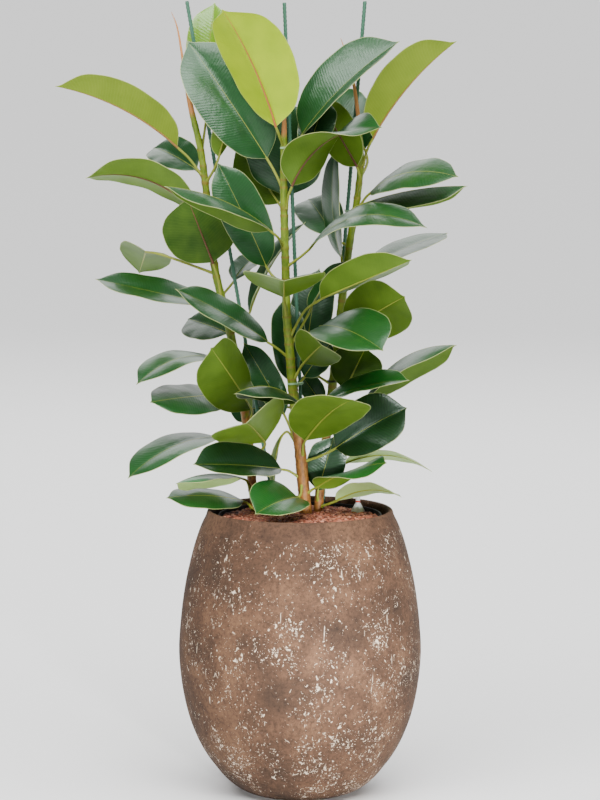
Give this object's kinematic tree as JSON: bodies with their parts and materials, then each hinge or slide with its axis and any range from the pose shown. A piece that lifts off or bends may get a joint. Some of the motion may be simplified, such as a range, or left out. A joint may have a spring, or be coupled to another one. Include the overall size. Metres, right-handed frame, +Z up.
{
  "type": "potted rubber plant",
  "caption": "Tall rubber plant with upright staked stems and broad glossy leaves, standing in clay granules in an egg-shaped matte planter.",
  "frame": {"origin": "centre of the planter's flat underside", "axes": "+Z up along the planter's axis; +X to the right and +Y away, seen from the side with the open crown of leaves"},
  "size_m": [0.867, 0.543, 1.6828],
  "materials": {
    "planter": "matte brown, fine pale pits and flecks",
    "liner": "black culture pot",
    "granules": "rough reddish baked clay granules",
    "gauge": "clear tube with a grey foot",
    "stem": "olive green above, tan bark with leaf scars below",
    "stake": "grey-green plastic coat with small knobs",
    "leaf": "glossy dark green above, matte olive below, pale midrib",
    "leaf_young": "satin yellow-green young leaf with orange midrib"
  },
  "bodies": {
    "root": {"planter": "planter", "liner": "liner", "granules": "granules", "gauge": "gauge", "stem_left": "stem", "stake_left": "stake", "stem_centre": "stem", "stake_centre": "stake", "stem_right": "stem", "stake_right": "stake", "leaf_left_01": "leaf_young", "leaf_left_02": "leaf_young", "leaf_left_03": "leaf", "leaf_left_05": "leaf", "leaf_left_07": "leaf", "leaf_left_08": "leaf", "leaf_left_09": "leaf", "leaf_left_10": "leaf", "leaf_left_11": "leaf", "leaf_left_14": "leaf", "leaf_left_15": "leaf", "leaf_left_16": "leaf", "leaf_left_17": "leaf", "leaf_left_18": "leaf", "leaf_left_20": "leaf", "leaf_left_21": "leaf", "leaf_left_22": "leaf", "leaf_centre_01": "leaf_young", "leaf_centre_02": "leaf", "leaf_centre_03": "leaf", "leaf_centre_04": "leaf", "leaf_centre_05": "leaf", "leaf_centre_06": "leaf", "leaf_centre_07": "leaf", "leaf_centre_10": "leaf", "leaf_centre_13": "leaf", "leaf_centre_14": "leaf", "leaf_centre_15": "leaf", "leaf_centre_16": "leaf", "leaf_centre_17": "leaf", "leaf_centre_18": "leaf", "leaf_centre_19": "leaf", "leaf_centre_20": "leaf", "leaf_centre_21": "leaf", "leaf_centre_24": "leaf", "leaf_right_01": "leaf_young", "leaf_right_02": "leaf", "leaf_right_03": "leaf", "leaf_right_04": "leaf", "leaf_right_05": "leaf", "leaf_right_07": "leaf", "leaf_right_08": "leaf", "leaf_right_11": "leaf", "leaf_right_12": "leaf", "leaf_right_14": "leaf", "leaf_right_15": "leaf", "leaf_right_16": "leaf", "leaf_right_21": "leaf", "leaf_right_22": "leaf", "leaf_right_26": "leaf"}
  },
  "joints": []
}
